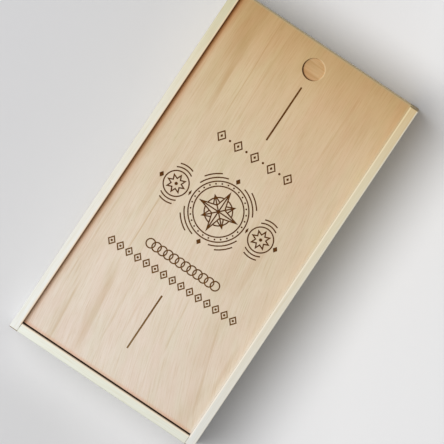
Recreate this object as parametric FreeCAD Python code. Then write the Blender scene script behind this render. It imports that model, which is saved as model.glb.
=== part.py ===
import FreeCAD, Part
import math
import os

# A keepsake box with a flat lid that slides in grooves. Sizes are in millimetres.
# The origin is the middle of the closed box's underside and +Z is up. +Y points to the
# open end, where the lid slides out, and +X is on the right of someone who looks that way.
# The pieces are built about the middle of the walls and moved to the origin at the end.

# The walls, taken together
box_length = 359.0             # along Y
box_width = 195.0              # along X
box_height = 100.0             # along Z

# The boards
wall_thickness = 8.5
bottom_thickness = 4.0
lid_thickness = 5.0

# The lid's seat
lid_recess = 7.0               # from the top of the walls down to the lid's face
lid_overhang = 1.0             # how far the closed lid stands out of the open end
end_gap = 1.2                  # between the closed end wall and the lid
groove_depth = 4.0             # into the inner faces of the side walls
slide_clearance = 0.3          # above the lid and below it
edge_clearance = 0.5           # beside the lid, in each groove

# The bottom's seat
rebate_width = 5.0             # how far the bottom reaches under the walls
bottom_clearance = 0.2         # round the edge of the bottom

# Sanded edges
wall_arris = 1.2               # tops, ends and outer corners of the walls
foot_arris = 0.6               # lower outer edges, and the top of the open end wall
seam_chamfer = 0.3             # where the end walls meet the side walls
lid_corner = 1.5               # corners of the lid in plan
lid_arris = 1.0                # upper and lower edges of the lid

# The finger recess in the lid
recess_radius = 10.2
recess_depth = 2.5
recess_from_end = 22.0         # from the lid's open end to the recess's centre
recess_rim = 0.4               # the rounded edge of the recess

# Brads
brad_shank_radius = 0.6
brad_head_radius = 1.1
brad_head_height = 0.5
brad_tip = 1.6
brad_sink = 0.3                # how far a head is punched below the surface
corner_brad_length = 20.0
corner_brads_per_joint = 3
corner_brad_inset = 15.0       # from the foot of the joint, and from its top
bottom_brad_length = 14.0
side_bottom_brads = 5          # under each side wall
side_bottom_inset = 30.0       # from each end of the box
end_bottom_brads = 3           # under each end wall
end_bottom_inset = 35.0        # from each side of the box

# Engraving in the lid's face
engraving_depth = 0.4
line_stroke = 1.6              # width of the two straight lines
motif_stroke = 1.2             # width of every other engraved line
line_to_recess = 8.8
line_to_name = 12.5
name_to_motif = 17.0
motif_to_rows = 17.0
row_to_row = 7.0
row_to_line = 11.2
line_to_closed_end = 33.2      # from the closed end wall's inner face

# The row of lozenges and dots above the medallion
name_lozenge_width = 9.6
name_lozenge_height = 12.0
name_core_width = 2.6
name_core_height = 3.2
name_pitch = 17.5
name_margin = 50.0             # from the side walls to the middle of the outer lozenges
dot_radius = 1.1

# The medallion: a compass star in a beaded rim
medallion_radius = 27.0
band_width = 4.4               # between the two circles of the rim
rim_beads = 28
rim_bead_radius = 0.8
star_gap = 1.6                 # from the rim's inner circle to the star's long points
short_point_loss = 4.6         # how much shorter the slanting points are
star_waist_radius = 6.6        # to the corners between the points
star_ring_radius = 12.6        # the circle behind the star
point_line_loss = 3.4          # from the tip of a point to the end of its middle line
finial_gap = 1.6
finial_width = 4.6
finial_height = 6.0
bracket_gap = 3.4              # from a rim to the first arc outside it, and to the next
bracket_start = 24.0           # degrees from the X axis
bracket_end = 74.0
outer_bracket_inset = 11.0     # degrees that the outer arc is shorter at each end

# The small roundels beside the medallion
roundel_radius = 11.5
roundel_gap = 6.4              # from the medallion's rim to a roundel's
roundel_star_gap = 1.8
roundel_star_points = 8
roundel_waist_radius = 5.4
roundel_dot_radius = 1.5
roundel_bracket_span = 64.0    # degrees

# The rows below the medallion
ring_row_height = 9.6
ring_pitch = 6.2
ring_margin = 54.0             # from the side walls to the middle of the outer rings
lozenge_row_height = 10.0
lozenge_row_width = 8.2
lozenge_pitch = 9.2
lozenge_margin = 23.5          # from the side walls to the middle of the outer lozenges

# Values that follow from the sizes above
half_length = box_length / 2
half_width = box_width / 2
lid_end = half_length + lid_overhang
inner_x = half_width - wall_thickness
inner_y = half_length - wall_thickness
lid_top = box_height - lid_recess
lid_bottom = lid_top - lid_thickness
groove_top = lid_top + slide_clearance
groove_bottom = lid_bottom - slide_clearance
groove_x = inner_x + groove_depth
rebate_x = inner_x + rebate_width
rebate_y = inner_y + rebate_width
near = 0.01                    # how close a point is to count as on a face
overshoot = 1.0                # how far a cutter stands out of what it cuts
engraving_floor = lid_top - engraving_depth
cutter_height = engraving_depth + overshoot
up = FreeCAD.Vector(0, 0, 1)


def block(low, high):
    """A block between its lowest and its highest corner."""
    sides = [above - below for below, above in zip(low, high)]
    return Part.makeBox(*sides, FreeCAD.Vector(*low))


def rounded(shape, radius, chosen):
    """The shape with the edges rounded whose middle points are chosen."""
    return shape.makeFillet(radius, [edge for edge in shape.Edges if chosen(edge.CenterOfMass)])


def chamfered(shape, width, chosen):
    """The shape with the edges chamfered whose middle points are chosen."""
    return shape.makeChamfer(width, [edge for edge in shape.Edges if chosen(edge.CenterOfMass)])


def mirrored(shape, normal):
    """The shape on the other side of the plane through the origin."""
    return shape.mirror(FreeCAD.Vector(0, 0, 0), FreeCAD.Vector(*normal))


def spaced(first, last, count):
    """Evenly spaced places from first to last."""
    step = (last - first) / (count - 1)
    return [first + step * index for index in range(count)]


# Brads. Each is stated by the point where its axis meets the surface, and a direction.

def turned(outline, point, direction):
    """A solid turned about an axis, from radii and places along the axis."""
    corners = [FreeCAD.Vector(radius, 0, place) for radius, place in outline]
    face = Part.Face(Part.makePolygon(corners + corners[:1]))
    solid = face.revolve(FreeCAD.Vector(0, 0, 0), up, 360)
    solid.Placement = FreeCAD.Placement(point, FreeCAD.Rotation(up, direction))
    return solid


def brad_outline(length, top):
    """Half the section of a brad, or of its hole, from the place of its top."""
    head_foot = brad_sink + brad_head_height
    return [
        (0, top),
        (brad_head_radius, top),
        (brad_head_radius, head_foot),
        (brad_shank_radius, head_foot),
        (brad_shank_radius, brad_sink + length - brad_tip),
        (0, brad_sink + length),
    ]


def brads(places, length):
    """The brads of one group, as separate solids."""
    return [turned(brad_outline(length, brad_sink), *place) for place in places]


def brad_holes(places, length):
    """Cutters for the holes that the brads of one group fill."""
    return [turned(brad_outline(length, -overshoot), *place) for place in places]


def corner_brad_places(y):
    """Brads driven through both side walls into the end grain of an end wall."""
    heights = spaced(corner_brad_inset, groove_bottom - corner_brad_inset, corner_brads_per_joint)
    return [
        (FreeCAD.Vector(side * half_width, y, z), FreeCAD.Vector(-side, 0, 0))
        for side in (-1, 1)
        for z in heights
    ]


def bottom_brad_places():
    """Brads driven up through the edge of the bottom into all four walls."""
    side_x = inner_x + rebate_width / 2
    end_y = inner_y + rebate_width / 2
    side_reach = half_length - side_bottom_inset
    end_reach = half_width - end_bottom_inset
    along_sides = spaced(-side_reach, side_reach, side_bottom_brads)
    along_ends = spaced(-end_reach, end_reach, end_bottom_brads)
    points = [(side * side_x, y) for side in (-1, 1) for y in along_sides]
    points += [(x, side * end_y) for side in (-1, 1) for x in along_ends]
    return [(FreeCAD.Vector(x, y, 0), up) for x, y in points]


closed_corner_places = corner_brad_places(wall_thickness / 2 - half_length)
open_corner_places = corner_brad_places(half_length - wall_thickness / 2)
bottom_places = bottom_brad_places()
corner_holes = brad_holes(closed_corner_places + open_corner_places, corner_brad_length)
bottom_holes = brad_holes(bottom_places, bottom_brad_length)


# Walls and bottom

def left_side_wall():
    """A full-length wall, grooved for the lid and rebated for the bottom."""
    wall = block((-half_width, -half_length, 0), (-inner_x, half_length, box_height))

    def on_top(point):
        return point.z > box_height - near

    def at_outer_corner(point):
        return point.x < near - half_width and abs(point.y) > half_length - near

    def at_foot(point):
        return point.z < near and point.x < -inner_x - near

    wall = rounded(wall, wall_arris, lambda point: on_top(point) or at_outer_corner(point))
    wall = rounded(wall, foot_arris, at_foot)
    inside = overshoot - inner_x
    groove = block((-groove_x, -inner_y, groove_bottom), (inside, half_length + overshoot, groove_top))
    rebate = block((-rebate_x, -rebate_y, -overshoot), (inside, rebate_y, bottom_thickness))
    return wall.cut([groove, rebate] + corner_holes + bottom_holes)


def end_wall(height, top_arris):
    """A wall between the side walls at the closed end, rebated for the bottom."""
    wall = block((-inner_x, -half_length, 0), (inner_x, -inner_y, height))

    def on_long_top_edge(point):
        return point.z > height - near and abs(point.x) < near

    def on_foot(point):
        return point.z < near and point.y < near - half_length

    def at_seam(point):
        return abs(point.x) > inner_x - near

    wall = rounded(wall, top_arris, on_long_top_edge)
    wall = rounded(wall, foot_arris, on_foot)
    wall = chamfered(wall, seam_chamfer, at_seam)
    inside = overshoot - inner_y
    rebate = block((-half_width, -rebate_y, -overshoot), (half_width, inside, bottom_thickness))
    return wall.cut(rebate)


def closed_end_wall():
    """The end wall as high as the side walls. The lid stops in front of it."""
    return end_wall(box_height, wall_arris).cut(corner_holes + bottom_holes)


def open_end_wall():
    """The lower end wall that the lid passes over."""
    wall = mirrored(end_wall(groove_bottom, foot_arris), (0, 1, 0))
    return wall.cut(corner_holes + bottom_holes)


def bottom_panel():
    """The board that lies in the rebates, flush with the feet of the walls."""
    reach_x = rebate_x - bottom_clearance
    reach_y = rebate_y - bottom_clearance
    panel = block((-reach_x, -reach_y, 0), (reach_x, reach_y, bottom_thickness))
    return panel.cut(bottom_holes)


# Cutters for the engraving. Each is centred on x and y and its lines are of a given width.

def dot(x, y, radius):
    return Part.makeCylinder(radius, cutter_height, FreeCAD.Vector(x, y, engraving_floor))


def circle(x, y, radius):
    """A circle through the middle of its engraved line."""
    return dot(x, y, radius + motif_stroke / 2).cut(dot(x, y, radius - motif_stroke / 2))


def arc(x, y, radius, start, span):
    """Part of a circle, from its start angle over its span, in degrees."""
    centre = FreeCAD.Vector(x, y, engraving_floor)
    outer = Part.makeCylinder(radius + motif_stroke / 2, cutter_height, centre, up, span)
    outer.rotate(centre, up, start)
    return outer.cut(dot(x, y, radius - motif_stroke / 2))


def plate(x, y, corners):
    """A flat plate through corners given from its centre."""
    points = [FreeCAD.Vector(x + across, y + along, engraving_floor) for across, along in corners]
    return Part.Face(Part.makePolygon(points + points[:1])).extrude(up * cutter_height)


def outlined(x, y, corners):
    """The outline of a figure whose edges all lie at one distance from its centre."""
    (first_x, first_y), (second_x, second_y) = corners[:2]
    edge_length = math.hypot(second_x - first_x, second_y - first_y)
    distance = abs(first_x * second_y - second_x * first_y) / edge_length
    share = 1 - motif_stroke / distance
    inner_corners = [(across * share, along * share) for across, along in corners]
    return plate(x, y, corners).cut(plate(x, y, inner_corners))


def lozenge_corners(width, height):
    return [(width / 2, 0), (0, height / 2), (-width / 2, 0), (0, -height / 2)]


def diamond(x, y, width, height):
    """A filled lozenge."""
    return plate(x, y, lozenge_corners(width, height))


def lozenge(x, y, width, height):
    """An outlined lozenge, of its full width and height."""
    return outlined(x, y, lozenge_corners(width, height))


def star_corners(points, tip_radius, waist_radius, turn):
    """The tips of a star and the corners between them. The first tip is turned from X."""
    radii = [tip_radius, waist_radius] * points
    angles = [math.radians(turn + 180 * index / points) for index in range(2 * points)]
    return [(radius * math.cos(angle), radius * math.sin(angle)) for radius, angle in zip(radii, angles)]


def placed_round(x, y, shape, angles):
    """Copies of a shape, turned about a centre."""
    copies = [shape.copy() for _ in angles]
    for copy, angle in zip(copies, angles):
        copy.rotate(FreeCAD.Vector(x, y, 0), up, angle)
    return copies


def line_across(x, y, length, turn):
    """A straight line with its middle at a centre, turned from the X axis."""
    reach = length / 2
    half = motif_stroke / 2
    line = plate(x, y, [(-reach, -half), (reach, -half), (reach, half), (-reach, half)])
    line.rotate(FreeCAD.Vector(x, y, 0), up, turn)
    return line


def row_places(margin, pitch):
    """Places across the lid at an even pitch, as many as fit between the margins."""
    steps = math.floor((2 * inner_x - 2 * margin) / pitch)
    return [pitch * (index - steps / 2) for index in range(steps + 1)]


def between(places):
    """The places halfway between neighbours."""
    return [(first + second) / 2 for first, second in zip(places, places[1:])]


def name_row(y):
    places = row_places(name_margin, name_pitch)
    lozenges = [lozenge(x, y, name_lozenge_width, name_lozenge_height) for x in places]
    cores = [diamond(x, y, name_core_width, name_core_height) for x in places]
    return lozenges + cores + [dot(x, y, dot_radius) for x in between(places)]


def ring_row(y):
    """Rings that overlap like the links of a chain."""
    places = row_places(ring_margin, ring_pitch)
    return [circle(x, y, (ring_row_height - motif_stroke) / 2) for x in places]


def lozenge_row(y):
    """Lozenges with a dot in the middle of each."""
    places = row_places(lozenge_margin, lozenge_pitch)
    lozenges = [lozenge(x, y, lozenge_row_width, lozenge_row_height) for x in places]
    return lozenges + [dot(x, y, dot_radius) for x in places]


def compass_star(y, tip_radius):
    """Four long points in front of four slanting ones and a circle, with lines along them."""
    slant_radius = tip_radius - short_point_loss
    upright = star_corners(4, tip_radius, star_waist_radius, 0)
    slanting = star_corners(4, slant_radius, star_waist_radius, 45)
    upright_plate = plate(0, y, upright)
    ring_behind = circle(0, y, star_ring_radius).cut([upright_plate, plate(0, y, slanting)])
    lines = [line_across(0, y, 2 * (tip_radius - point_line_loss), turn) for turn in (0, 90)]
    lines += [line_across(0, y, 2 * (slant_radius - point_line_loss), turn) for turn in (45, 135)]
    return [outlined(0, y, upright), outlined(0, y, slanting).cut(upright_plate), ring_behind] + lines


def upside_down(shape, y):
    """The shape mirrored across a line at y."""
    return shape.mirror(FreeCAD.Vector(0, y, 0), FreeCAD.Vector(0, 1, 0))


def medallion(y):
    """A beaded rim round a compass star, with a finial above and below, and arcs outside."""
    inner_radius = medallion_radius - band_width
    bead = dot(medallion_radius - band_width / 2, y, rim_bead_radius)
    finial = diamond(medallion_radius + finial_gap + finial_height / 2, y, finial_height, finial_width)
    span = bracket_end - bracket_start
    near_arc = arc(0, y, medallion_radius + bracket_gap, bracket_start, span)
    far_start = bracket_start + outer_bracket_inset
    far_arc = arc(0, y, medallion_radius + 2 * bracket_gap, far_start, span - 2 * outer_bracket_inset)
    arcs = [near_arc, far_arc]
    arcs += [mirrored(shape, (1, 0, 0)) for shape in arcs]
    arcs += [upside_down(shape, y) for shape in arcs]
    bead_angles = [360 * index / rim_beads for index in range(rim_beads)]
    return (
        [circle(0, y, medallion_radius), circle(0, y, inner_radius)]
        + placed_round(0, y, bead, bead_angles)
        + compass_star(y, inner_radius - star_gap)
        + placed_round(0, y, finial, (90, 270))
        + arcs
    )


def roundel(y):
    """The small roundel on the right of the medallion, with its link, its tip and its arcs."""
    x = medallion_radius + roundel_gap + roundel_radius
    link = diamond(medallion_radius + roundel_gap / 2, y, finial_width / 2, finial_height)
    tip_x = x + roundel_radius + finial_gap + finial_width / 2
    star_radius = roundel_radius - roundel_star_gap
    arc_start = 90 - roundel_bracket_span / 2
    near_arc = arc(x, y, roundel_radius + bracket_gap, arc_start, roundel_bracket_span)
    far_span = roundel_bracket_span - 2 * outer_bracket_inset
    far_arc = arc(x, y, roundel_radius + 2 * bracket_gap, arc_start + outer_bracket_inset, far_span)
    return [
        circle(x, y, roundel_radius),
        outlined(x, y, star_corners(roundel_star_points, star_radius, roundel_waist_radius, 0)),
        dot(x, y, roundel_dot_radius),
        link,
        diamond(tip_x, y, finial_width, finial_height),
        near_arc,
        far_arc,
        upside_down(near_arc, y),
        upside_down(far_arc, y),
    ]


def straight_line(low_y, high_y):
    half = line_stroke / 2
    return block((-half, low_y, engraving_floor), (half, high_y, lid_top + overshoot))


def engraving():
    """All the cutters for the lid's face, stacked down the lid and centred on the box."""
    motif_height = 2 * (medallion_radius + finial_gap + finial_height)
    heights = [
        name_lozenge_height,
        name_to_motif,
        motif_height,
        motif_to_rows,
        ring_row_height,
        row_to_row,
        lozenge_row_height,
    ]
    name_top = sum(heights) / 2
    motif_top = name_top - name_lozenge_height - name_to_motif
    ring_row_top = motif_top - motif_height - motif_to_rows
    lozenge_row_top = ring_row_top - ring_row_height - row_to_row
    rows_foot = lozenge_row_top - lozenge_row_height
    motif_y = motif_top - motif_height / 2
    recess_foot = lid_end - recess_from_end - recess_radius
    right_roundel = roundel(motif_y)
    return (
        [straight_line(name_top + line_to_name, recess_foot - line_to_recess)]
        + name_row(name_top - name_lozenge_height / 2)
        + medallion(motif_y)
        + right_roundel
        + [mirrored(shape, (1, 0, 0)) for shape in right_roundel]
        + ring_row(ring_row_top - ring_row_height / 2)
        + lozenge_row(lozenge_row_top - lozenge_row_height / 2)
        + [straight_line(line_to_closed_end - inner_y, rows_foot - row_to_line)]
    )


def sliding_lid():
    """The lid, standing a little out of the open end, with its finger recess and engraving."""
    reach_x = groove_x - edge_clearance
    lid = block((-reach_x, end_gap - inner_y, lid_bottom), (reach_x, lid_end, lid_top))

    def upright(point):
        return abs(point.z - (lid_top + lid_bottom) / 2) < near

    def on_a_face(point):
        return not upright(point)

    lid = rounded(lid, lid_corner, upright)
    lid = rounded(lid, lid_arris, on_a_face)
    recess_centre = FreeCAD.Vector(0, lid_end - recess_from_end, lid_top - recess_depth)
    lid = lid.cut(Part.makeCylinder(recess_radius, recess_depth + overshoot, recess_centre))

    def on_rim(point):
        return point.z > lid_top - near and (point - recess_centre).Length < recess_radius

    lid = rounded(lid, recess_rim, on_rim)
    return lid.cut(engraving())


pieces = {
    "left_side_wall": left_side_wall(),
    "right_side_wall": mirrored(left_side_wall(), (1, 0, 0)),
    "closed_end_wall": closed_end_wall(),
    "open_end_wall": open_end_wall(),
    "bottom_panel": bottom_panel(),
    "sliding_lid": sliding_lid(),
    "closed_end_brads": Part.makeCompound(brads(closed_corner_places, corner_brad_length)),
    "open_end_brads": Part.makeCompound(brads(open_corner_places, corner_brad_length)),
    "bottom_brads": Part.makeCompound(brads(bottom_places, bottom_brad_length)),
}

walls_to_origin = FreeCAD.Vector(0, -lid_overhang / 2, 0)
os.makedirs("parts", exist_ok=True)
for node, shape in pieces.items():
    shape.translate(walls_to_origin)
    shape.exportStep("parts/" + node + ".step")
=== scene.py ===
import math

import bpy
from mathutils import Matrix, Vector


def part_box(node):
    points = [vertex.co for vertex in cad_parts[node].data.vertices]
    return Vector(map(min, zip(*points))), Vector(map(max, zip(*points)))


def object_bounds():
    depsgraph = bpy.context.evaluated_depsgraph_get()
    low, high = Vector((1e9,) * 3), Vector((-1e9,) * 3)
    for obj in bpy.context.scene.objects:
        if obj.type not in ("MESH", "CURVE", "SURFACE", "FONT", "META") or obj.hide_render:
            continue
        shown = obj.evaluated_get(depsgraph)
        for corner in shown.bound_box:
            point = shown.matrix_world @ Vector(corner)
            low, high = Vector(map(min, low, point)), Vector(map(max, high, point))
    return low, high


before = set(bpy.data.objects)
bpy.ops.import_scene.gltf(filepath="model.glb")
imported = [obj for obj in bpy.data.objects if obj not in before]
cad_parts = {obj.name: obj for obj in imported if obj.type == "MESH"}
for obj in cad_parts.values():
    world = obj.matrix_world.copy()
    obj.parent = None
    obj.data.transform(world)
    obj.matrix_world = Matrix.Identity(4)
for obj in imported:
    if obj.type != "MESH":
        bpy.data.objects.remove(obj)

# A keepsake box with a lid that slides in grooves. The pieces come from the frame:
# this script gives each one its finish, and sets the floor, the lights and the camera.
# The finishes are laid out in millimetres, and the floor, lights and camera in metres.

MM = 0.001
cad_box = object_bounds()


# Places on the box, in millimetres, worked out from the frame

def millimetres(node):
    """The lowest and highest corners of a piece."""
    low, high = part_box(node)
    return low / MM, high / MM


box_top = cad_box[1].z / MM
lid_low, lid_high = millimetres("sliding_lid")
side_low, side_high = millimetres("left_side_wall")
bottom_low, bottom_high = millimetres("bottom_panel")

# The opening is as far as inner_x from the middle on both sides, and starts at inner_y
inner_x = -side_high.x
inner_y = millimetres("closed_end_wall")[1].y

# The finger recess lies on the lid's centre line, near its open end
recess_y = lid_high.y - 22.0
recess_radius = 10.2


# Shader arithmetic

class Signal:
    """A number, colour or vector in a shader, with arithmetic for numbers."""

    def __init__(self, finish, socket):
        self.finish = finish
        self.socket = socket

    def math(self, operation, *values):
        return self.finish.node("ShaderNodeMath", {"operation": operation}, dict(enumerate(values)))

    def __add__(self, other):
        return self.math("ADD", self, other)

    def __sub__(self, other):
        return self.math("SUBTRACT", self, other)

    def __mul__(self, other):
        return self.math("MULTIPLY", self, other)

    def __truediv__(self, other):
        return self.math("DIVIDE", self, other)

    def __pow__(self, other):
        return self.math("POWER", self, other)

    def __rsub__(self, other):
        return self.math("SUBTRACT", other, self)

    __radd__ = __add__
    __rmul__ = __mul__

    def __abs__(self):
        return self.math("ABSOLUTE", self)

    def fraction(self):
        return self.math("FRACT", self)

    def larger(self, other):
        return self.math("MAXIMUM", self, other)

    def rise(self, low, high):
        """0 below low, 1 above high, and smooth between them."""
        settings = {"interpolation_type": "SMOOTHSTEP"}
        sockets = {"Value": self, "From Min": low, "From Max": high}
        return self.finish.node("ShaderNodeMapRange", settings, sockets)

    def fall(self, low, high):
        """1 below low, 0 above high, and smooth between them."""
        return 1 - self.rise(low, high)


SOCKET_NAMES = {"metallic": "Metallic", "specular": "Specular IOR Level", "normal": "Normal"}


class Finish:
    """One material: its Principled shader and the nodes that feed it."""

    def __init__(self, name):
        self.material = bpy.data.materials.new(name)
        self.material.use_nodes = True
        self.tree = self.material.node_tree
        self.shader = self.tree.nodes["Principled BSDF"]

    def node(self, kind, settings=None, sockets=None, output=0):
        """A new node, with its settings first and then its sockets, as one of its outputs."""
        node = self.tree.nodes.new(kind)
        for name, value in (settings or {}).items():
            setattr(node, name, value)
        for name, value in (sockets or {}).items():
            self.feed(node.inputs[name], value)
        return Signal(self, node.outputs[output])

    def feed(self, socket, value):
        """Links a signal to a socket, or sets a plain value there."""
        if isinstance(value, Signal):
            self.tree.links.new(value.socket, socket)
        else:
            socket.default_value = value

    def mix(self, factor, first, second, blend="MIX"):
        """The first colour where the factor is 0 and the second where it is 1.

        Sockets 6 and 7 and output 2 are the ones that a Mix node has for colours.
        """
        settings = {"data_type": "RGBA", "blend_type": blend}
        return self.node("ShaderNodeMix", settings, {0: factor, 6: first, 7: second}, output=2)

    def tint(self, factor, colour, tone):
        """The colour as it is where the factor is 0, and multiplied by the tone where it is 1."""
        return self.mix(factor, colour, tone, "MULTIPLY")

    def vector(self, x, y, z):
        return self.node("ShaderNodeCombineXYZ", None, {0: x, 1: y, 2: z})

    def noise(self, place, scale, detail, roughness):
        sockets = {"Vector": place, "Scale": scale, "Detail": detail, "Roughness": roughness}
        return self.node("ShaderNodeTexNoise", None, sockets)

    def place(self):
        """The place on the piece along each axis, in millimetres."""
        coordinates = self.node("ShaderNodeTexCoord", output="Object")
        sockets = {0: coordinates, "Scale": 1 / MM}
        scaled = self.node("ShaderNodeVectorMath", {"operation": "SCALE"}, sockets)
        split = self.node("ShaderNodeSeparateXYZ", None, {0: scaled})
        return [Signal(self, socket) for socket in split.socket.node.outputs]

    def surface(self, colour, roughness, **others):
        """Feeds the shader and returns the material."""
        sockets = {"Base Color": colour, "Roughness": roughness}
        sockets.update({SOCKET_NAMES[name]: value for name, value in others.items()})
        for name, value in sockets.items():
            self.feed(self.shader.inputs[name], value)
        return self.material


def paint(red, green, blue):
    """A colour as it looks on a screen, from 0 to 255, as shader values."""
    def linear(level):
        share = level / 255
        return share / 12.92 if share <= 0.04045 else ((share + 0.055) / 1.055) ** 2.4
    return (linear(red), linear(green), linear(blue), 1.0)


def toned(place, stops):
    """A colour that changes from stop to stop: each is a place and the tone that it has there."""
    colour = paint(*stops[0][1])
    for (start, _), (end, tone) in zip(stops, stops[1:]):
        colour = place.finish.mix((place - start) / (end - start), colour, paint(*tone))
    return colour


def shaded_near(colour, place, near, far, tone, strength):
    """The colour multiplied by a tone as painted shade, fully where the place is below near and not
    beyond far.
    """
    return place.finish.tint(place.fall(near, far) * strength, colour, paint(*tone))


# Wood

class Grain:
    """Where a point lies in its board: along the fibres, across them and into the board."""

    def __init__(self, along, across, depth, start):
        self.finish = along.finish
        self.along = along
        self.across = across
        self.depth = depth
        self.start = start

    def drawn_out(self, length, width, detail=2.0, roughness=0.5, shift=0.0):
        """Noise in patches of about this length and width, from 0 to 1."""
        along = self.along / length + (self.start + shift)
        place = self.finish.vector(along, self.across / width, self.depth / width)
        return self.finish.noise(place, 1.0, detail, roughness)

    def late_wood(self, spacing, pith, wander):
        """Growth rings about a pith: each year darkens slowly and ends sharply.

        The pith is given by its place across the fibres and into the board.
        """
        sideways = self.across - pith[0]
        inward = self.depth - pith[1]
        drift = self.drawn_out(length=260.0, width=46.0, roughness=0.45) - 0.5
        radius = (sideways * sideways + inward * inward) ** 0.5 + drift * wander
        year = (radius / spacing).fraction()
        return year.rise(0.2, 0.88) * year.fall(0.93, 1.0)


def relief(height, depth):
    """Bump of about this depth."""
    sockets = {"Strength": 1.0, "Distance": depth * MM, "Height": height}
    return height.finish.node("ShaderNodeBump", None, sockets)


def sanded_wood(grain, colour, dark, figure, fibre_contrast):
    """Colour, roughness and normal of a sanded board, from its tone and its darker figure."""
    finish = grain.finish
    fibres = grain.drawn_out(length=24.0, width=0.9, detail=4.0, roughness=0.65, shift=11.0)
    pores = grain.drawn_out(length=7.0, width=0.5, detail=1.0, shift=17.0).rise(0.66, 0.8)
    colour = finish.mix(figure, colour, dark)
    colour = finish.mix(fibres.rise(0.4, 0.75) * fibre_contrast, colour, dark)
    colour = finish.mix(pores * fibre_contrast * 0.8, colour, dark)
    roughness = 0.6 + fibres * 0.14 - figure * 0.05
    height = fibres * 0.7 + figure * 0.2 - pores
    return colour, roughness, relief(height, depth=0.04)


# The walls

# For each wall: its tones along the fibres, which carry painted light, paler towards the closed
# end and darker and yellower towards the open end; the tones of the painted highlight on the edge
# round the opening;
# where its growth rings have their middle; where its noise starts, so that no two walls are alike;
# how strongly painted shade darkens its groove; and how strong the painted highlight on its outer
# top edge is
WALLS = {
    "left": {
        "tones": (
            (-180, (244, 248, 246)), (-60, (240, 239, 231)), (60, (235, 232, 216)),
            (110, (231, 224, 198)), (180, (211, 206, 172)),
        ),
        "edge": ((-180, (250, 228, 201)), (20, (254, 234, 208)), (180, (248, 222, 182))),
        "pith": (20.0, 130.0),
        "start": 0.0,
        "groove_shade": 0.85,
        "outer_highlight": 0.0,
    },
    "right": {
        "tones": (
            (-180, (230, 232, 229)), (-60, (231, 227, 213)), (60, (226, 217, 189)),
            (110, (223, 211, 179)), (180, (216, 192, 147)),
        ),
        "edge": (
            (-180, (252, 245, 233)), (-60, (250, 240, 221)),
            (100, (243, 229, 198)), (180, (234, 214, 168)),
        ),
        "pith": (70.0, -160.0),
        "start": 5.0,
        "groove_shade": 0.1,
        "outer_highlight": 0.6,
    },
    "closed": {
        "tones": ((-98, (244, 248, 240)), (0, (235, 237, 223)), (98, (231, 233, 222))),
        "edge": ((-98, (252, 238, 216)), (98, (248, 234, 212))),
        "pith": (40.0, -250.0),
        "start": 9.0,
        "groove_shade": 0.35,
        "outer_highlight": 0.0,
    },
    "open": {
        "tones": ((-98, (218, 209, 180)), (98, (218, 200, 162))),
        "edge": ((-98, (236, 222, 192)), (98, (230, 212, 172))),
        "pith": (30.0, 260.0),
        "start": 13.0,
        "groove_shade": 0.1,
        "outer_highlight": 0.0,
    },
}


def wall_wood(name, along_x):
    """Pale sanded softwood. The fibres run along X in the end walls and along Y in the sides."""
    wall = WALLS[name]
    finish = Finish(name + "_wall_wood")
    x, y, z = finish.place()
    grain = Grain(x, z, y, wall["start"]) if along_x else Grain(y, z, x, wall["start"])
    # Painted light: the tones make the wall paler towards the closed end and darker towards the
    # open end
    colour = toned(grain.along, wall["tones"])
    dark = finish.tint(1.0, colour, paint(232, 213, 178))
    figure = wall_figure(grain, z, wall["pith"])
    colour, roughness, normal = sanded_wood(grain, colour, dark, figure, fibre_contrast=0.3)
    # Painted highlight: a paler line on the edge round the opening
    colour = finish.mix(painted_edge_highlight(x, y, z) * 0.85, colour, toned(grain.along, wall["edge"]))
    # Painted highlight: a paler line along the outer top edge
    colour = finish.mix(outer_edge(x, z) * wall["outer_highlight"], colour, paint(248, 244, 228))
    # Painted shade: brown in the groove and on the lip above the lid
    colour = finish.mix(painted_groove_shade(x, y, z) * wall["groove_shade"], colour, paint(134, 88, 48))
    if not along_x:
        colour = end_grain(grain, colour)
    return finish.surface(colour, roughness, specular=0.35, normal=normal)


def wall_figure(grain, z, pith):
    """Growth rings and soft bands, both fainter at the top of the wall."""
    near_top = z.rise(box_top - 3.0, box_top - 0.5)
    rings = grain.late_wood(spacing=5.2, pith=pith, wander=9.0)
    bands = grain.drawn_out(length=240.0, width=7.0, shift=3.0).rise(0.35, 0.7)
    return rings * (0.45 - near_top * 0.38) + bands * (0.25 - near_top * 0.1)


def top_face(z):
    """1 on the top of the walls."""
    return z.rise(box_top - 1.5, box_top - 0.9)


def outer_edge(x, z):
    """1 along the outer top edge of a side wall."""
    outer_x = -side_low.x
    return abs(x).rise(outer_x - 1.6, outer_x - 0.8) * top_face(z)


def beyond_opening(x, y):
    """How far a point of a wall is from the opening."""
    return (abs(x) - inner_x).larger(inner_y - y)


def painted_edge_highlight(x, y, z):
    """1 on the edge round the top of the opening, where a paler colour is painted as a highlight.
    """
    width = 1.8
    return beyond_opening(x, y).fall(width - 0.6, width) * top_face(z)


def painted_groove_shade(x, y, z):
    """1 in the groove for the lid and up to the edge round the opening, where brown is painted as
    shade.

    Towards the open end the painted shade stops a little lower.
    """
    groove_depth = lid_high.x - inner_x + 0.6
    inside = beyond_opening(x, y).fall(groove_depth, groove_depth + 0.2)
    top = box_top - 0.45 - y.rise(120.0, 160.0) * 0.25
    return inside * z.rise(lid_low.z - 1.5, lid_low.z - 0.3) * z.fall(top, top + 0.35)


def end_grain(grain, colour):
    """The cut ends of the side walls: darker, with open pores."""
    finish = grain.finish
    middle = (side_low.y + side_high.y) / 2
    reach = (side_high.y - side_low.y) / 2
    cut = abs(grain.along - middle).rise(reach - 1.0, reach - 0.4)
    place = finish.vector(grain.across, grain.depth, 0.0)
    pores = finish.noise(place, scale=2.4, detail=2.0, roughness=0.6).rise(0.4, 0.7)
    tone = finish.mix(pores * 0.6, paint(150, 128, 84), paint(98, 78, 44))
    return finish.mix(cut * 0.9, colour, tone)


# Plywood

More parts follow.
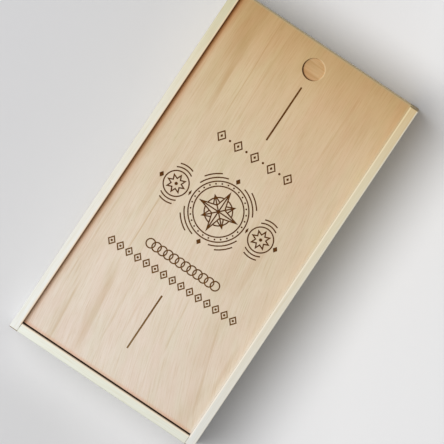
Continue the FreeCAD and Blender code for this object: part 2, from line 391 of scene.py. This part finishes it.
class Plywood:
    """A three-ply board: its grain, its crossed middle ply, its glue and its cut edges.

    The fibres of its faces run along Y. With a lean they curve towards +X on their way to the
    closed end, and the more so the further they are from the straight one, off the left side.
    """

    straight_x = -133.0
    glue_thickness = 0.06

    def __init__(self, finish, low, high, veneer, start, lean=0.0):
        self.x, self.y, z = finish.place()
        self.depth = high.z - z
        thickness = high.z - low.z
        from_face = self.depth.rise(veneer, veneer + self.glue_thickness)
        from_back = (thickness - self.depth).rise(veneer, veneer + self.glue_thickness)
        self.core = from_face * from_back
        self.glue = self.core * (1 - self.core) * 4
        fanned = self.x - (self.x - self.straight_x) * (high.y - self.y) ** 2 * lean
        along = self.y + (fanned - self.y) * self.core
        across = fanned + (self.y - fanned) * self.core
        self.grain = Grain(along, across, self.depth, start)
        middle = (low.y + high.y) / 2
        reach = (high.y - low.y) / 2
        end = abs(self.y - middle).rise(reach - 0.5, reach - 0.1)
        side = abs(self.x).rise(high.x - 0.5, high.x - 0.1)
        self.cut = end * (1 - self.core) + side * self.core

    def edges(self, colour, glue_tone):
        """The colour with the dark glue lines, and darker where fibres are cut across."""
        finish = self.grain.finish
        colour = finish.mix(self.glue * 0.6, colour, glue_tone)
        return finish.mix(self.cut * 0.45, colour, paint(150, 112, 70))


# Streaks in the lid's face veneer: the X and Y where each starts and ends, its width, and its
# strength, which is below 0 for a pale one. Each is soft on its left side and sharp on its right
VENEER_STREAKS = (
    ((-64.5, 240.0), (-60.0, 105.0), 18.0, 0.4),
    ((-62.3, 165.0), (-58.3, 85.0), 10.0, 0.5),
    ((-60.8, 130.0), (-55.8, 66.0), 5.5, 0.6),
    ((-72.0, 190.0), (-70.0, 70.0), 13.0, 0.4),
    ((-49.0, 250.0), (-45.0, 60.0), 10.0, -0.3),
    ((-47.0, 205.0), (-42.0, 60.0), 1.4, 0.8),
    ((-33.5, 185.0), (-30.0, 70.0), 2.0, 0.45),
    ((-50.0, 5.0), (-48.0, -78.0), 1.6, 1.0),
    ((-46.5, -70.0), (-33.5, -175.0), 8.0, 0.7),
    ((-80.0, -15.0), (-77.0, -150.0), 1.6, 0.45),
    ((-67.5, -105.0), (-61.0, -178.0), 3.0, 0.6),
    ((-28.5, -65.0), (-22.0, -165.0), 2.2, 0.35),
    ((-13.0, -75.0), (-10.0, -145.0), 2.5, 0.3),
    ((21.0, -60.0), (31.0, -135.0), 1.6, 0.45),
    ((30.0, -120.0), (47.0, -165.0), 2.0, 0.35),
    ((53.5, -65.0), (84.5, -165.0), 2.4, 0.55),
    ((82.0, -75.0), (86.0, -140.0), 4.0, 0.4),
    ((56.0, -55.0), (66.0, -130.0), 16.0, 0.3),
    ((53.5, 30.0), (55.0, -62.0), 9.0, 0.4),
    ((38.0, 30.0), (44.0, -75.0), 14.0, 0.3),
    ((-60.0, 70.0), (-57.0, -50.0), 5.0, 0.35),
    ((49.0, 170.0), (49.0, 80.0), 2.5, 0.35),
    ((60.0, 145.0), (57.0, 85.0), 9.0, 0.3),
    ((76.0, -115.0), (82.0, -195.0), 14.0, 0.35),
)


def veneer_figure(board):
    """Soft bands and fine lines in the lid's face, stronger on its left side, and the streaks."""
    grain = board.grain
    left = board.x.fall(-35.0, 30.0)
    bands = grain.drawn_out(length=260.0, width=8.0, detail=3.0, roughness=0.55, shift=3.0)
    lines = grain.drawn_out(length=110.0, width=1.8, shift=5.0)
    figure = (bands.rise(0.42, 0.72) * 0.24 + lines.rise(0.5, 0.78) * 0.12) * (0.4 + left * 0.6)
    waver = (grain.drawn_out(length=70.0, width=25.0, shift=7.0) - 0.5) * 3.0
    for start, end, width, strength in VENEER_STREAKS:
        figure = figure + streak(board, waver, start, end, width) * strength
    return figure


def streak(board, waver, start, end, width):
    """A long streak that darkens slowly over most of its width and then ends sharply."""
    slant = (end[0] - start[0]) / (end[1] - start[1])
    aside = board.x - start[0] - (board.y - start[1]) * slant + waver
    middle = (start[1] + end[1]) / 2
    reach = abs(end[1] - start[1]) / 2
    profile = aside.rise(-width, -width * 0.35) * aside.fall(0.0, width * 0.25)
    return profile * abs(board.y - middle).fall(reach * 0.4, reach)


def veneer_tone(board):
    """The lid's face before its figure: darker and browner towards the open end as painted shade,
    and uneven in hue.
    """
    finish = board.grain.finish
    # Painted light: paler towards the closed end, and darker and browner towards the open end
    colour = toned(board.y, (
        (-180, (235, 222, 209)), (-90, (235, 221, 204)), (50, (226, 208, 179)),
        (120, (221, 196, 158)), (156, (211, 179, 134)), (180, (200, 166, 118)),
    ))
    duller = board.x.rise(0.0, 70.0) * board.y.fall(0.0, 90.0)
    colour = finish.tint(duller * 0.6, colour, paint(246, 243, 236))
    across = board.x.rise(0.0, 30.0) * board.x.fall(60.0, 80.0)
    redder = across * board.y.rise(20.0, 60.0) * board.y.fall(130.0, 165.0)
    colour = finish.tint(redder, colour, paint(254, 249, 248))
    pinker = board.grain.drawn_out(length=45.0, width=15.0, shift=41.0).rise(0.35, 0.65)
    colour = finish.tint(pinker * 0.6, colour, paint(253, 247, 247))
    greener = board.grain.drawn_out(length=30.0, width=10.0, shift=47.0).rise(0.4, 0.7)
    return finish.tint(greener * 0.6, colour, paint(248, 252, 246))


# The painted shade along the lid's left edge, where the left wall's shadow falls, in three layers
# from the wide and pale one to the narrow and dark one: how far in each is full, how far in it
# ends, and its tone
LEFT_EDGE_SHADE = (
    (1.5, 9.0, (240, 212, 194)),
    (0.8, 4.5, (225, 193, 151)),
    (0.4, 1.5, (206, 174, 130)),
)


def painted_edge_shade_and_reflection(board, colour):
    """The colour with painted light on the lid's edges: brown painted shade on the left, reddish
    painted shade at the closed end, a paler painted reflection on the right, and greyer at the open
    end."""
    finish = board.grain.finish
    from_left = board.x + inner_x
    out_of_groove = from_left.rise(-1.2, -0.4)
    shade_strength = out_of_groove * (0.4 + board.y.rise(-180.0, 60.0) * 0.45)
    # Painted shade: brown where the left wall's shadow falls on the lid
    for near, far, tone in LEFT_EDGE_SHADE:
        colour = shaded_near(colour, from_left, near, far, tone, shade_strength)
    # Painted shade: reddish where the closed end wall's shadow falls on the lid
    from_closed_end = board.y - lid_low.y
    colour = shaded_near(colour, from_closed_end, 1.2, 4.0, (251, 222, 208), strength=0.7)
    # Painted reflection: paler along the right edge, where light from the right wall's inner face
    # falls
    right_tones = ((-180, (240, 238, 230)), (50, (222, 213, 190)), (180, (200, 182, 140)))
    from_right = inner_x - board.x
    colour = finish.mix(from_right.fall(0.3, 3.0) * 0.5, colour, toned(board.y, right_tones))
    open_edge = board.y.rise(lid_high.y - 2.5, lid_high.y)
    return finish.mix(open_edge * 0.6, colour, paint(184, 172, 136))


def finger_recess(board, colour):
    """The colour with painted light in the recess: a painted shadow along its wall on one side,
    and a painted highlight on the rim of the other."""
    finish = board.grain.finish
    y = board.y - recess_y
    from_middle = (board.x ** 2 + y ** 2) ** 0.5
    inside = board.depth.rise(0.3, 0.6) * from_middle.fall(recess_radius + 0.6, recess_radius + 0.8)
    # Painted shade: redder on the recess floor towards -X and the closed end
    shaded_side = (board.x * 0.5 + y * 0.87).fall(-9.0, 2.0) * inside
    colour = finish.tint(shaded_side * 0.5, colour, paint(245, 215, 190))
    # A painted shadow: a dark crescent on the side towards -X and the closed end
    shift = 1.1
    from_shifted = ((board.x - shift) ** 2 + (y - shift) ** 2) ** 0.5
    darkened = from_shifted.rise(recess_radius - 0.5, recess_radius + 0.8) * inside
    colour = finish.mix(darkened * 0.9, colour, paint(92, 50, 8))
    # Painted highlight: a paler rim on the +X side, which faces the lamp
    lit_side = (board.x * 0.87 + y * 0.5).rise(recess_radius * 0.2, recess_radius * 0.8)
    painted_rim_highlight = abs(from_middle - recess_radius).fall(0.2, 0.8) * lit_side
    return finish.mix(painted_rim_highlight * 0.7, colour, paint(232, 206, 164))


def scorched(board, colour):
    """The colour with the engraving burnt in, darkest in the middle of the lid."""
    finish = board.grain.finish
    # The engraving lies this near to the middle of the lid. It is cut 0.4 mm deep, so that
    # the face above it and the deeper cuts aren't burnt
    half_width = 80.0
    half_length = 145.0
    darkened = (
        board.depth.rise(0.06, 0.2)
        * board.depth.fall(0.6, 0.8)
        * abs(board.x).fall(half_width, half_width + 1)
        * abs(board.y).fall(half_length, half_length + 1)
    )
    char = toned(board.y, (
        (-half_length, (138, 110, 72)), (-70, (106, 72, 30)),
        (0, (80, 41, 0)), (half_length, (98, 56, 2)),
    ))
    uneven = board.grain.drawn_out(length=7.0, width=3.0, detail=3.0, roughness=0.6, shift=31.0)
    char = finish.mix(uneven.rise(0.35, 0.7) * 0.2, char, paint(144, 96, 28))
    return finish.mix(darkened, colour, char)


def lid_plywood():
    """Warm face veneer, a crossed core in the finger recess, and scorched engraving."""
    finish = Finish("lid_plywood")
    board = Plywood(finish, lid_low, lid_high, veneer=1.2, start=0.0, lean=0.0000024)
    colour = veneer_tone(board)
    dark = finish.tint(1.0, colour, paint(216, 196, 160))
    colour = finish.mix(board.core * 0.5, colour, paint(212, 174, 128))
    crossed = board.grain.drawn_out(length=60.0, width=2.2, detail=3.0, roughness=0.6, shift=23.0)
    figure = veneer_figure(board) * (1 - board.core) + crossed.rise(0.4, 0.7) * board.core
    colour, roughness, normal = sanded_wood(
        board.grain, colour, dark, figure * 0.5, fibre_contrast=0.35
    )
    colour = board.edges(colour, glue_tone=paint(124, 88, 52))
    colour = painted_edge_shade_and_reflection(board, colour)
    colour = finger_recess(board, colour)
    colour = scorched(board, colour)
    return finish.surface(colour, roughness, specular=0.1, normal=normal)


def bottom_plywood():
    """Plain three-ply board, a little darker than the walls."""
    finish = Finish("bottom_plywood")
    board = Plywood(finish, bottom_low, bottom_high, veneer=1.0, start=41.0)
    rings = board.grain.late_wood(spacing=15.0, pith=(-20.0, 70.0), wander=42.0)
    bands = board.grain.drawn_out(length=240.0, width=9.0, detail=3.0, shift=3.0).rise(0.38, 0.72)
    figure = rings * 0.45 + bands * 0.3
    dark = paint(190, 160, 120)
    colour, roughness, normal = sanded_wood(
        board.grain, paint(224, 208, 182), dark, figure, fibre_contrast=0.3
    )
    colour = finish.mix(board.core * 0.5, colour, paint(190, 152, 108))
    colour = board.edges(colour, glue_tone=paint(120, 84, 50))
    return finish.surface(colour, roughness, specular=0.35, normal=normal)


# The brads

def brad_steel():
    """Dull wire steel."""
    finish = Finish("brad_steel")
    x, y, z = finish.place()
    grain = Grain(x, y, z, start=0.0)
    tarnish = grain.drawn_out(length=1.2, width=1.2, detail=3.0, roughness=0.6)
    colour = finish.mix(tarnish.rise(0.35, 0.65), paint(176, 172, 166), paint(118, 106, 94))
    return finish.surface(colour, 0.35 + tarnish * 0.3, metallic=1.0)


def dress():
    """Gives each piece its finish."""
    steel = brad_steel()
    finishes = {
        "left_side_wall": wall_wood("left", along_x=False),
        "right_side_wall": wall_wood("right", along_x=False),
        "closed_end_wall": wall_wood("closed", along_x=True),
        "open_end_wall": wall_wood("open", along_x=True),
        "bottom_panel": bottom_plywood(),
        "sliding_lid": lid_plywood(),
        "closed_end_brads": steel,
        "open_end_brads": steel,
        "bottom_brads": steel,
    }
    for node, material in finishes.items():
        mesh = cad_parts[node].data
        mesh.materials.clear()
        mesh.materials.append(material)


# The floor, the light and the camera

def floor():
    """A plain floor with painted light: paler on the side away from the lamp and in a patch by the
    closed end.
    """
    half_width = 3.0
    clearance = 0.0002
    mesh = bpy.data.meshes.new("floor")
    signs = ((-1, -1), (1, -1), (1, 1), (-1, 1))
    corners = [Vector((x * half_width, y * half_width, 0)) for x, y in signs]
    mesh.from_pydata(corners, [], [(0, 1, 2, 3)])
    plane = bpy.data.objects.new("floor", mesh)
    bpy.context.scene.collection.objects.link(plane)
    plane.location.z = cad_box[0].z - clearance
    finish = Finish("floor_paint")
    x, y, z = finish.place()
    away = math.radians(20.0)
    # Painted light: the floor is darker on the lamp's side and paler away from it
    from_lamp = x * math.cos(away) + y * math.sin(away)
    stops = ((-100, (216, 216, 218)), (60, (234, 234, 236)), (150, (244, 244, 245)))
    colour = toned(from_lamp, stops)
    # Painted light: a paler patch by the closed end that lifts the shade beside the box
    painted_light_by_closed_end = abs(y - side_low.y).fall(5.0, 65.0) * abs(x).fall(70.0, 130.0)
    colour = finish.mix(painted_light_by_closed_end * 0.75, colour, paint(234, 234, 237))
    mesh.materials.append(finish.surface(colour, 0.9, specular=0.2))


def looking(position, target):
    """A rotation that looks from a position to a target."""
    return (target - position).to_track_quat("-Z", "Y").to_matrix().to_4x4()


def lights():
    """A large soft lamp on the left and a pale room."""
    room_share = 0.3
    lamp_share = 0.7
    azimuth = math.radians(195.0)
    elevation = math.radians(71.4)
    half_angle = math.radians(17.5)
    distance = 4.0
    target = Vector((0, 0, cad_box[1].z))
    level = math.cos(elevation)
    direction = Vector((math.cos(azimuth) * level, math.sin(azimuth) * level, math.sin(elevation)))
    lamp = bpy.data.lights.new("window", "AREA")
    lamp.shape = "DISK"
    lamp.size = 2 * distance * math.tan(half_angle)
    lamp.energy = lamp_share * (math.pi * distance) ** 2 / math.sin(elevation)
    holder = bpy.data.objects.new("window", lamp)
    position = target + direction * distance
    holder.matrix_world = Matrix.Translation(position) @ looking(position, target)
    bpy.context.scene.collection.objects.link(holder)
    world = bpy.data.worlds.new("room")
    bpy.context.scene.world = world
    world.use_nodes = True
    background = world.node_tree.nodes["Background"]
    background.inputs["Color"].default_value = (1.0, 1.0, 1.0, 1.0)
    background.inputs["Strength"].default_value = room_share


def looking_down(position, target, turn):
    """A rotation that looks down with +Y up in the frame, then turned about the view."""
    back = (position - target).normalized()
    right = Vector((1, 0, 0))
    upward = back.cross(right)
    axes = Matrix((right, upward, back)).transposed().to_4x4()
    return axes @ Matrix.Rotation(turn, 4, "Z")


def camera():
    """From nearly straight above, far away, with the box turned in the frame."""
    distance = 12.0
    tilt = math.radians(2.1)
    turn = math.radians(33.84)
    seen_width = 0.39205
    target = Vector((0.0077, 0.0013, cad_box[1].z))
    position = target + distance * Vector((0, math.sin(tilt), math.cos(tilt)))
    lens = bpy.data.cameras.new("camera")
    lens.sensor_width = 36.0
    lens.lens = lens.sensor_width * distance / seen_width
    lens.clip_end = 30.0
    holder = bpy.data.objects.new("camera", lens)
    holder.matrix_world = Matrix.Translation(position) @ looking_down(position, target, turn)
    bpy.context.scene.collection.objects.link(holder)
    bpy.context.scene.camera = holder


dress()
floor()
lights()
camera()
bpy.context.scene.view_settings.view_transform = "Standard"
